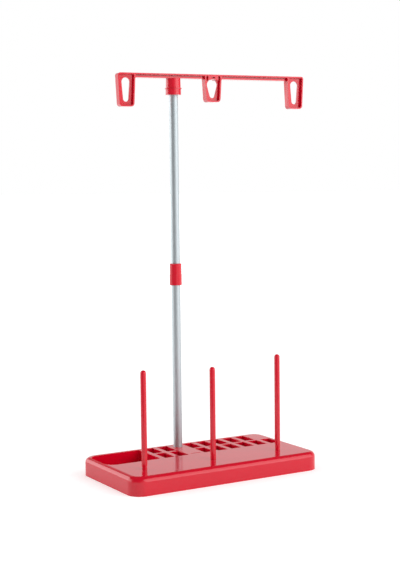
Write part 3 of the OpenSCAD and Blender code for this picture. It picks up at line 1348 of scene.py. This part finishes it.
@dataclass
class Studio:
    """A white photographer's table in soft, plain light, and the camera.

    Lengths are in metres and angles in degrees. A level of 1 is white.
    """

    floor_size: float = 60.0
    floor_grey: float = 0.8
    lens_px: float = 1207.544
    image_w: int = 400
    image_h: int = 570
    sensor: float = 36.0
    camera_at: tuple[float, float, float] = (-0.714188, -1.218599, 0.337021)
    yaw: float = -30.527
    pitch: float = 4.634
    roll: float = 0.650
    table_front: float = 0.43
    near_lift: float = 0.42
    far_lift: float = 0.85
    near: float = 0.5
    far: float = 3.0
    tent_level: float = 1.0
    ceiling_level: float = 0.12
    ceiling_from: float = 0.05
    ceiling_to: float = 0.70
    ambient: float = 0.33
    dark_turn: float = 28.0
    dark_from: float = 50.0
    dark_to: float = 32.0
    dark_level: float = 0.32
    key: SoftBox = SoftBox("soft_key", (-0.66, 0.68, 0.34), 2.2, 2.6, 1.3, 1.9)
    fill: SoftBox = SoftBox("soft_fill", (0.52, -0.71, 0.47), 2.4, 2.5, 2.2, 2.05)

    def camera(self) -> None:
        """Place the camera where the photograph was taken from."""
        data = bpy.data.cameras.new("camera")
        data.sensor_width = self.sensor
        data.lens = self.lens_px / max(self.image_w, self.image_h) * self.sensor
        data.clip_start = 0.05
        data.dof.use_dof = False
        eye = bpy.data.objects.new("camera", data)
        bpy.context.scene.collection.objects.link(eye)
        level = Matrix.Rotation(math.radians(90), 4, "X")
        heading = Matrix.Rotation(math.radians(self.yaw), 4, "Z")
        nod = Matrix.Rotation(math.radians(-self.pitch), 4, "X")
        lean = Matrix.Rotation(-math.radians(self.roll), 4, "Z")
        eye.matrix_world = Matrix.Translation(self.camera_at) @ heading @ level @ nod @ lean
        bpy.context.scene.camera = eye

    def floor(self) -> None:
        """Lay the table that the rack stands on; it ends just in front of the picture."""
        deselect()
        away = Matrix.Rotation(math.radians(self.yaw), 3, "Z") @ Vector((0, 1, 0))
        bpy.ops.mesh.primitive_plane_add(
            size=self.floor_size,
            location=away * (self.floor_size / 2 - self.table_front),
            rotation=(0, 0, math.radians(self.yaw)),
        )
        floor = settle(bpy.context.active_object)
        floor.name = "floor"
        material = empty_material("matt_white_table")
        tree = material.node_tree
        grey = (self.floor_grey, self.floor_grey, self.floor_grey, 1)
        matt = add_node(tree, "ShaderNodeBsdfDiffuse", {"Color": grey})
        place = add_node(tree, "ShaderNodeTexCoord").outputs["Object"]
        reach = add_node(tree, "ShaderNodeVectorMath", {"operation": "LENGTH"}, {0: place})
        fading = add_node(
            tree, "ShaderNodeMapRange",
            {"From Min": self.near, "From Max": self.far, "To Min": self.near_lift,
             "To Max": self.far_lift},
            {"Value": reach.outputs["Value"]},
        )
        lift = add_node(
            tree, "ShaderNodeMath", {"operation": "MULTIPLY"},
            {0: fading.outputs["Result"], 1: self.seen(tree, glossy=True)},
        )
        glow = add_node(
            tree, "ShaderNodeEmission", {"Color": (1, 1, 1, 1)}, {"Strength": lift.outputs[0]}
        )
        both = add_node(
            tree, "ShaderNodeAddShader", links={0: matt.outputs[0], 1: glow.outputs[0]}
        )
        add_node(tree, "ShaderNodeOutputMaterial", links={"Surface": both.outputs[0]})
        floor.data.materials.append(material)

    def seen(self, tree: bpy.types.NodeTree, glossy: bool) -> bpy.types.NodeSocket:
        """Tell whether a ray comes from the camera, or also from a gloss or through glass.

        Args:
            tree: The node tree.
            glossy: Whether glossy and transmission rays count too.

        Returns:
            A socket that is 1 for such a ray.
        """
        path = add_node(tree, "ShaderNodeLightPath")
        if not glossy:
            return path.outputs["Is Camera Ray"]
        seen = path.outputs["Is Camera Ray"]
        for name in ("Is Glossy Ray", "Is Transmission Ray"):
            node = add_node(
                tree, "ShaderNodeMath", {"operation": "MAXIMUM"},
                {0: seen, 1: path.outputs[name]},
            )
            seen = node.outputs[0]
        return seen

    def world(self) -> None:
        """Surround the table with a white tent, open to a dim room overhead and in front."""
        world = bpy.data.worlds.new("white_tent")
        bpy.context.scene.world = world
        world.use_nodes = True
        tree = world.node_tree
        tree.nodes.clear()
        place = add_node(tree, "ShaderNodeTexCoord").outputs["Generated"]
        height = add_node(tree, "ShaderNodeSeparateXYZ", links={"Vector": place}).outputs["Z"]
        tent = add_node(
            tree, "ShaderNodeMapRange",
            {"interpolation_type": "SMOOTHSTEP", "From Min": self.ceiling_from,
             "From Max": self.ceiling_to, "To Min": self.tent_level,
             "To Max": self.ceiling_level},
            {"Value": height},
        )
        heading = Matrix.Rotation(math.radians(self.yaw - self.dark_turn), 3, "Z")
        facing = add_node(
            tree, "ShaderNodeVectorMath",
            {"operation": "DOT_PRODUCT", 1: heading @ Vector((0, -1, 0))}, {0: place},
        )
        dark = add_node(
            tree, "ShaderNodeMapRange",
            {"interpolation_type": "SMOOTHSTEP",
             "From Min": math.cos(math.radians(self.dark_from)),
             "From Max": math.cos(math.radians(self.dark_to)), "To Min": 1.0,
             "To Max": self.dark_level},
            {"Value": facing.outputs["Value"]},
        )
        room = add_node(
            tree, "ShaderNodeMath", {"operation": "MULTIPLY"},
            {0: tent.outputs["Result"], 1: dark.outputs["Result"]},
        )
        lit = add_node(
            tree, "ShaderNodeMath", {"operation": "ADD", 1: self.ambient}, {0: room.outputs[0]}
        )
        shown = add_node(
            tree, "ShaderNodeMix", {"data_type": "FLOAT"},
            {0: self.seen(tree, glossy=True), 2: lit.outputs[0], 3: room.outputs[0]},
        )
        level = add_node(
            tree, "ShaderNodeMix", {"data_type": "FLOAT", 3: 1.0},
            {0: self.seen(tree, glossy=False), 2: shown.outputs[0]},
        )
        shader = add_node(
            tree, "ShaderNodeBackground", {"Color": (1, 1, 1, 1)},
            {"Strength": level.outputs[0]},
        )
        add_node(tree, "ShaderNodeOutputWorld", links={"Surface": shader.outputs[0]})

    def build(self) -> None:
        """Set up the camera, the floor, the surroundings and the lamps."""
        self.camera()
        self.floor()
        self.world()
        self.key.hang()
        self.fill.hang()


def main() -> None:
    """Build the studio and every piece of the rack, in order from the table up."""
    logging.basicConfig(level=logging.INFO, format="%(message)s")
    Studio().build()
    plastic = MouldedPolystyrene().make()
    metal = DrawnAluminium().make()
    mast_axis, _ = foot_and_height("lower_tube")

    base = BaseMoulding(plastic, mast_axis).build()
    hand_over(base, "base", "base")
    for place, pin in SpoolPins(plastic).build().items():
        hand_over(pin, f"pin_{place.value}", f"{place.value}_pin")
    mast = Mast(plastic, metal)
    lower, upper = mast.tubes()
    hand_over(lower, "lower_tube", "lower_mast")
    hand_over(mast.coupler(), "coupler", "lower_mast")
    hand_over(upper, "upper_tube", "upper_mast")
    hand_over(SwivelHead(plastic).build(), "swivel_bush", "head")
    hand_over(GuideArm(plastic, mast_axis).build(), "guide_arm", "arm")

    bpy.context.scene.view_settings.view_transform = "Standard"


if __name__ == "__main__":
    main()
